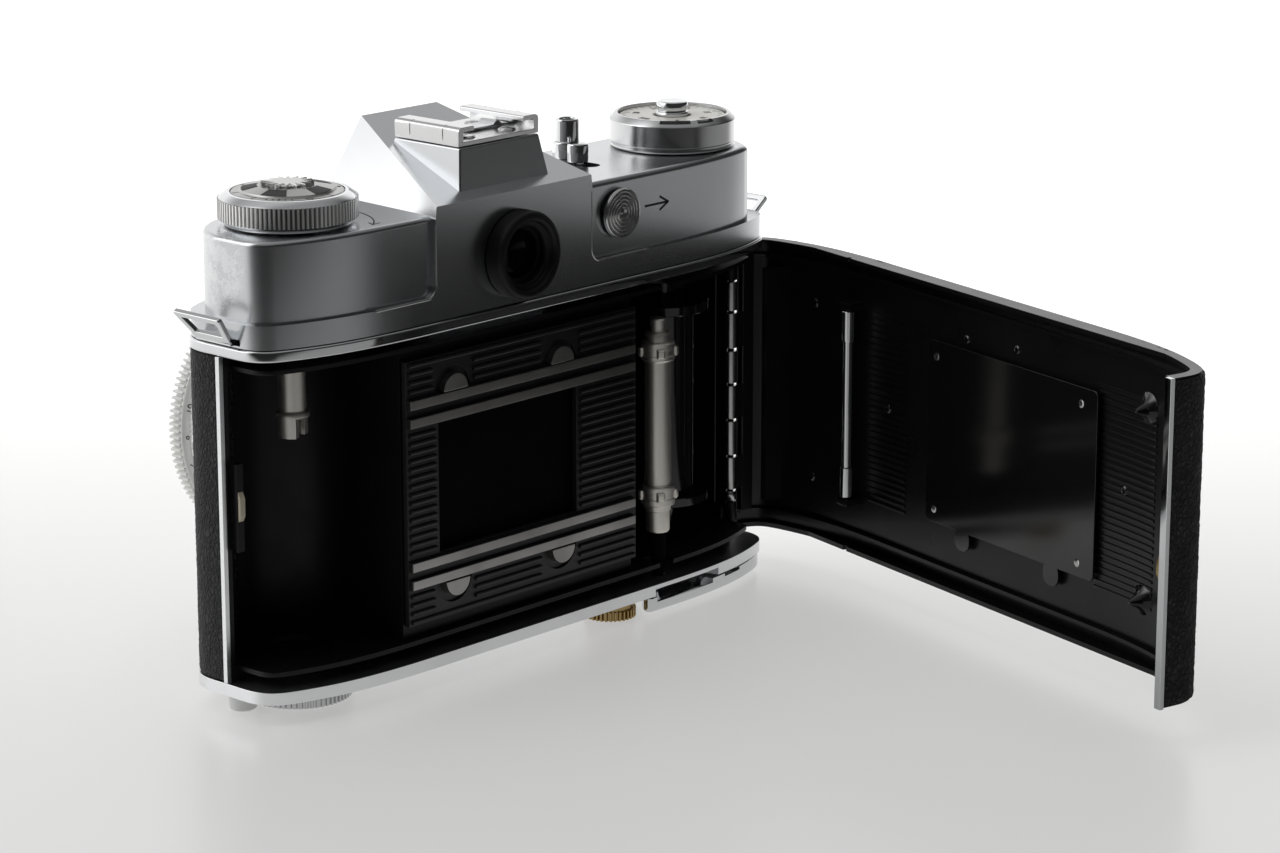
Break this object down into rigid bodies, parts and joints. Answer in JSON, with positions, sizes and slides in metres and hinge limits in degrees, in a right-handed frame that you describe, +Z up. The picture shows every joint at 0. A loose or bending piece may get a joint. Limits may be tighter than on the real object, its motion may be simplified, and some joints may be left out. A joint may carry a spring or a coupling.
{
  "type": "35 mm single-lens reflex camera",
  "caption": "Rigid-bodied reflex film camera with an open side-hinged back, base wind lever, rewind knob, counter drum, reflex mirror and leaf-shutter lens with turning rings.",
  "frame": {"origin": "centre of the round rest pad under the lens mount, on the plane the camera stands on", "axes": "+Z up through the top cover; -Y along the optical axis towards the subject, +Y towards the viewer; +X towards the rewind end, -X towards the winding end"},
  "size_m": [0.1471, 0.187, 0.1002],
  "materials": {
    "satin_chrome": "satin blasted chrome plate with fine grain and light tarnish",
    "polished_chrome": "bright polished chrome or nickel plate",
    "steel": "bare bright steel",
    "black_paint": "black crackle-free satin paint on metal",
    "gloss_black": "smooth gloss black",
    "grained_covering": "black grained body covering",
    "brass": "bare brass, slightly tarnished",
    "optical_glass": "polished optical glass",
    "cell_window": "lenticular window in front of the meter cell",
    "white_dial": "pale lacquer",
    "mirror_silver": "front-silvered glass"
  },
  "bodies": {
    "camera_body": {"body_casting": "black_paint", "film_gate_plate": "black_paint", "trim_band": "polished_chrome", "base_plate": "satin_chrome", "rest_foot": "white_dial", "top_cover": "satin_chrome", "accessory_shoe": "polished_chrome", "shoe_spring": "steel", "eyepiece_ring": "gloss_black", "eyepiece_lens": "optical_glass", "pentaprism": "optical_glass", "focusing_screen": "optical_glass", "meter_cell_window": "cell_window", "strap_lug_rewind_end": "polished_chrome", "strap_lug_winding_end": "polished_chrome", "covering_rewind_end": "grained_covering", "covering_winding_end": "grained_covering", "end_edge_strip": "polished_chrome", "mirror_housing": "satin_chrome", "shutter_housing": "satin_chrome", "lens_barrel": "black_paint", "lens_front_element": "optical_glass", "lens_rear_element": "optical_glass", "flash_socket": "satin_chrome", "tripod_bush": "steel", "hinge_pin": "polished_chrome", "hinge_body_leaf": "steel", "counter_housing": "satin_chrome", "cable_release_socket": "polished_chrome"},
    "rewind_lift": {"rewind_sleeve": "steel"},
    "rewind": {"rewind_knob": "satin_chrome", "rewind_shaft": "polished_chrome"},
    "film_dial": {"film_type_dial": "satin_chrome"},
    "release": {"release_button": "polished_chrome"},
    "frame_counter": {"counter_dial": "white_dial"},
    "counter_lock": {"counter_release_button": "polished_chrome"},
    "counter_setter": {"counter_slide": "satin_chrome"},
    "winder": {"wind_lever": "polished_chrome"},
    "sprocket": {"sprocket_shaft": "polished_chrome"},
    "take_up": {"take_up_spool": "gloss_black"},
    "rewind_release": {"rewind_release_button": "brass"},
    "latch_ring": {"latch_collar": "satin_chrome"},
    "latch_bar": {"latch_tongue": "brass"},
    "focusing": {"focusing_ring": "satin_chrome"},
    "aperture": {"aperture_ring": "satin_chrome"},
    "speed": {"speed_ring": "satin_chrome"},
    "self_timer": {"self_timer_lever": "satin_chrome"},
    "reflex_mirror": {"mirror": "mirror_silver"},
    "capping": {"capping_plate": "black_paint"},
    "door": {"back_door": "black_paint", "door_covering": "grained_covering", "door_edge_strip": "polished_chrome", "pressure_plate_spring": "steel", "door_latch_hook": "brass", "hinge_door_leaf": "steel"},
    "door_pressure": {"pressure_plate": "gloss_black"},
    "door_roller": {"film_roller": "polished_chrome"}
  },
  "joints": [
    {"name": "rewind_lift", "type": "slide", "parent": "camera_body", "child": "rewind_lift", "axis": [0, 0, 1], "range_m": [0, 0.006]},
    {"name": "rewind_turn", "type": "hinge", "parent": "rewind_lift", "child": "rewind", "pos_m": [0.0412, 0.022, 0.086], "axis": [0, 0, 1], "continuous": true},
    {"name": "film_dial_turn", "type": "hinge", "parent": "rewind", "child": "film_dial", "pos_m": [0.0412, 0.022, 0.091], "axis": [0, 0, 1], "continuous": true},
    {"name": "release_press", "type": "slide", "parent": "camera_body", "child": "release", "axis": [0, 0, -1], "range_m": [0, 0.0018], "stiffness_N_per_m": 250},
    {"name": "counter_turn", "type": "hinge", "parent": "camera_body", "child": "frame_counter", "pos_m": [-0.0591, 0.022, 0.091], "axis": [0, 0, 1], "range_deg": [0, 330]},
    {"name": "counter_lock_press", "type": "slide", "parent": "camera_body", "child": "counter_lock", "axis": [0, 0, -1], "range_m": [0, 0.0008], "stiffness_N_per_m": 250},
    {"name": "counter_set", "type": "slide", "parent": "camera_body", "child": "counter_setter", "axis": [-1, 0, 0], "range_m": [0, 0.003]},
    {"name": "wind_swing", "type": "hinge", "parent": "camera_body", "child": "winder", "pos_m": [-0.0535, 0.022, 0.002], "axis": [0, 0, 1], "range_deg": [0, 150]},
    {"name": "sprocket_turn", "type": "hinge", "parent": "camera_body", "child": "sprocket", "pos_m": [-0.0426, 0.03325, 0.036], "axis": [0, 0, 1], "range_deg": [0, 725]},
    {"name": "take_up_turn", "type": "hinge", "parent": "camera_body", "child": "take_up", "pos_m": [-0.0575, 0.021, 0.036], "axis": [0, 0, 1], "range_deg": [0, 275]},
    {"name": "rewind_release_press", "type": "slide", "parent": "camera_body", "child": "rewind_release", "axis": [0, 0, 1], "range_m": [0, 0.0005], "stiffness_N_per_m": 250},
    {"name": "latch_turn", "type": "hinge", "parent": "camera_body", "child": "latch_ring", "pos_m": [0.0412, 0.022, 0.002], "axis": [0, 0, 1], "range_deg": [0, 40]},
    {"name": "latch_slide", "type": "slide", "parent": "camera_body", "child": "latch_bar", "axis": [0, 0, -1], "range_m": [0, 0.0016]},
    {"name": "focus_turn", "type": "hinge", "parent": "camera_body", "child": "focusing", "pos_m": [0, -0.028, 0.036], "axis": [0, 1, 0], "range_deg": [-135, 135]},
    {"name": "aperture_turn", "type": "hinge", "parent": "camera_body", "child": "aperture", "pos_m": [0, -0.022, 0.036], "axis": [0, 1, 0], "range_deg": [-35, 35]},
    {"name": "speed_turn", "type": "hinge", "parent": "camera_body", "child": "speed", "pos_m": [0, -0.017, 0.036], "axis": [0, 1, 0], "range_deg": [-60, 60]},
    {"name": "self_timer_swing", "type": "hinge", "parent": "camera_body", "child": "self_timer", "pos_m": [0, -0.0116, 0.036], "axis": [0, -1, 0], "range_deg": [0, 35]},
    {"name": "mirror_swing", "type": "hinge", "parent": "camera_body", "child": "reflex_mirror", "pos_m": [0, 0.0296, 0.0532], "axis": [-1, 0, 0], "range_deg": [0, 45]},
    {"name": "capping_swing", "type": "hinge", "parent": "camera_body", "child": "capping", "pos_m": [0, 0.03275, 0.0218], "axis": [1, 0, 0], "range_deg": [0, 90]},
    {"name": "door_swing", "type": "hinge", "parent": "camera_body", "child": "door", "pos_m": [-0.07435, 0.02408, 0.036], "axis": [0, 0, 1], "range_deg": [-75.19, 20]},
    {"name": "pressure_plate_float", "type": "slide", "parent": "door", "child": "door_pressure", "axis": [-0.9668, 0.2556, 0], "range_m": [0, 0.0003], "stiffness_N_per_m": 400},
    {"name": "roller_spin", "type": "hinge", "parent": "door", "child": "door_roller", "pos_m": [-0.07807, 0.05077, 0.036], "axis": [0, 0, 1], "continuous": true}
  ],
  "couplings": [
    {"joint": "counter_turn", "follows": "wind_swing", "ratio": 0.063},
    {"joint": "sprocket_turn", "follows": "wind_swing", "ratio": 4.8},
    {"joint": "take_up_turn", "follows": "wind_swing", "ratio": 1.8},
    {"joint": "latch_slide", "follows": "latch_turn", "m_per_rad": 0.00215},
    {"joint": "capping_swing", "follows": "mirror_swing", "ratio": 2}
  ]
}
